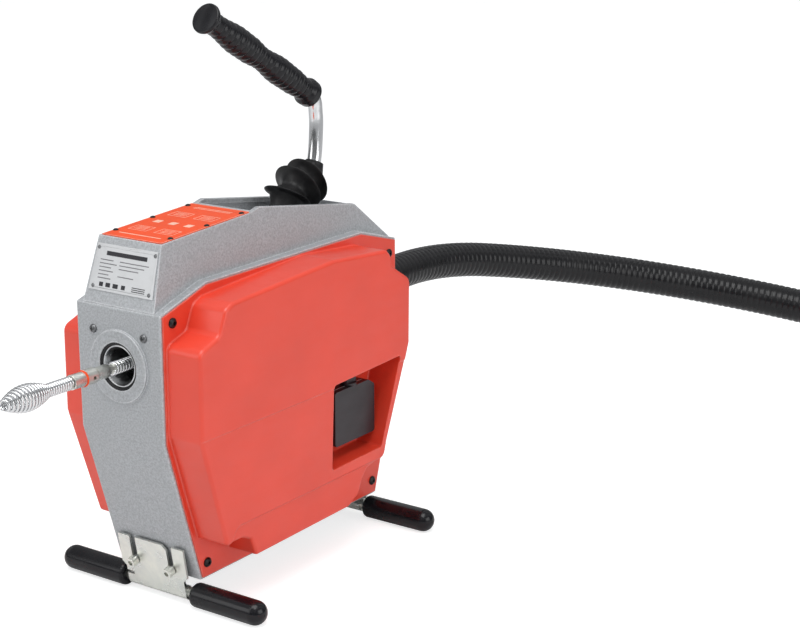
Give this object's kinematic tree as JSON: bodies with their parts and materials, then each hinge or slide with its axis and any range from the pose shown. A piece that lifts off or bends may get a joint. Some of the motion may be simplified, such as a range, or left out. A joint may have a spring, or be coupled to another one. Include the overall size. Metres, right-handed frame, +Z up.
{
  "type": "drain snake machine",
  "caption": "Portable sectional drain cleaning machine with a hollow belt-driven spindle, lever-operated jaw clutch, spring auger and rear guide hose.",
  "frame": {"origin": "middle of the spindle mouth, in the plane of the frame's front face", "axes": "+Z up, +Y rearwards along the spindle axis towards the guide hose, +X towards the switch side"},
  "size_m": [0.6398, 1.2668, 0.6938],
  "materials": {
    "casting": "grey hammertone paint on a die casting",
    "cover_red": "satin moulded plastic",
    "black_screw": "blackened steel",
    "orange_label": "printed aluminium plate",
    "plate_silver": "brushed aluminium",
    "black_rubber": "matte moulded rubber",
    "gloss_vinyl": "glossy dipped vinyl",
    "zinc": "bright zinc plating",
    "bearing_steel": "ground steel",
    "turned_steel": "machined steel",
    "dark_steel": "oiled steel",
    "chrome": "polished chrome plate",
    "motor_paint": "dark enamel",
    "cast_alloy": "raw die casting",
    "copper_core": "varnished laminations",
    "black_plastic": "fine moulded texture",
    "white_plastic": "moulded can",
    "hose_black": "glossy ribbed plastic"
  },
  "bodies": {
    "frame": {"frame_casting": "casting", "right_cover": "cover_red", "left_cover": "cover_red", "cover_screws": "black_screw", "label_plate": "orange_label", "label_rivets": "black_screw", "name_plate": "plate_silver", "name_plate_rivets": "plate_silver", "nose_seal": "black_rubber", "nose_screws": "zinc", "bearing_retainer": "turned_steel", "front_bearing_outer": "bearing_steel", "front_bearing_balls": "bearing_steel", "rear_bearing_outer": "bearing_steel", "rear_bearing_balls": "bearing_steel", "pivot_pin": "turned_steel", "lever_spring": "dark_steel", "bellows": "black_rubber", "bellows_clamp": "black_screw", "motor_housing": "motor_paint", "motor_front_shield": "cast_alloy", "motor_rear_shield": "cast_alloy", "motor_bolts": "black_screw", "motor_mount": "motor_paint", "drive_belt": "black_rubber", "capacitor": "white_plastic", "switch_housing": "black_plastic", "cord_gland": "black_plastic", "power_cord": "black_rubber", "foot_bars": "zinc", "foot_brackets": "zinc", "foot_screws": "zinc", "foot_grips": "gloss_vinyl", "hose_adapter": "black_plastic", "adapter_screws": "black_screw", "hose_clamp": "zinc", "guide_hose": "hose_black", "hose_cuff": "black_plastic"},
    "spindle": {"spindle": "turned_steel", "spindle_pulley": "cast_alloy", "front_bearing_inner": "bearing_steel", "rear_bearing_inner": "bearing_steel"},
    "jaw_1": {"jaw_1": "dark_steel"},
    "jaw_2": {"jaw_2": "dark_steel"},
    "jaw_3": {"jaw_3": "dark_steel"},
    "cone_ring": {"cone_ring": "turned_steel"},
    "pressure_ring": {"pressure_ring": "dark_steel", "thrust_bearing": "bearing_steel"},
    "lever": {"lever_fork": "dark_steel", "lever_rod": "chrome", "lever_grip": "gloss_vinyl"},
    "rotor": {"rotor": "copper_core", "motor_fan": "black_plastic", "motor_pulley": "cast_alloy"},
    "switch_knob": {"switch_knob": "black_plastic"},
    "spiral": {"spiral_cable": "chrome", "spiral_coupling": "zinc", "auger_head": "zinc"}
  },
  "joints": [
    {"name": "lever_press", "type": "hinge", "parent": "frame", "child": "lever", "pos_m": [0, 0.28, 0.095], "axis": [1, 0, 0], "range_deg": [0, 25], "deforming": ["bellows", "lever_spring"]},
    {"name": "pressure_slide", "type": "slide", "parent": "frame", "child": "pressure_ring", "axis": [0, 1, 0], "range_m": [-0.0005, 0.01795]},
    {"name": "spindle_spin", "type": "hinge", "parent": "frame", "child": "spindle", "pos_m": [0, 0.1, 0], "axis": [0, 1, 0], "continuous": true},
    {"name": "cone_slide", "type": "slide", "parent": "spindle", "child": "cone_ring", "axis": [0, 1, 0], "range_m": [-0.0005, 0.01795]},
    {"name": "jaw_1_slide", "type": "slide", "parent": "spindle", "child": "jaw_1", "axis": [0, 0, 1], "range_m": [-0.0088, 0.0003]},
    {"name": "jaw_2_slide", "type": "slide", "parent": "spindle", "child": "jaw_2", "axis": [-0.866, 0, -0.5], "range_m": [-0.0088, 0.0003]},
    {"name": "jaw_3_slide", "type": "slide", "parent": "spindle", "child": "jaw_3", "axis": [0.866, 0, -0.5], "range_m": [-0.0088, 0.0003]},
    {"name": "spiral_feed", "type": "slide", "parent": "spindle", "child": "spiral", "axis": [0, -1, 0], "range_m": [-0.02, 0.12]},
    {"name": "rotor_spin", "type": "hinge", "parent": "frame", "child": "rotor", "pos_m": [0, 0.1, -0.168], "axis": [0, 1, 0], "continuous": true},
    {"name": "switch_turn", "type": "hinge", "parent": "frame", "child": "switch_knob", "pos_m": [0.086, 0.32, -0.088], "axis": [0, 0, 1], "range_deg": [-45, 45]}
  ],
  "couplings": [
    {"joint": "pressure_slide", "follows": "lever_press", "m_per_rad": 0.04},
    {"joint": "cone_slide", "follows": "lever_press", "m_per_rad": 0.04},
    {"joint": "jaw_1_slide", "follows": "lever_press", "m_per_rad": -0.019481},
    {"joint": "jaw_2_slide", "follows": "lever_press", "m_per_rad": -0.019481},
    {"joint": "jaw_3_slide", "follows": "lever_press", "m_per_rad": -0.019481},
    {"joint": "rotor_spin", "follows": "spindle_spin", "ratio": 4}
  ]
}
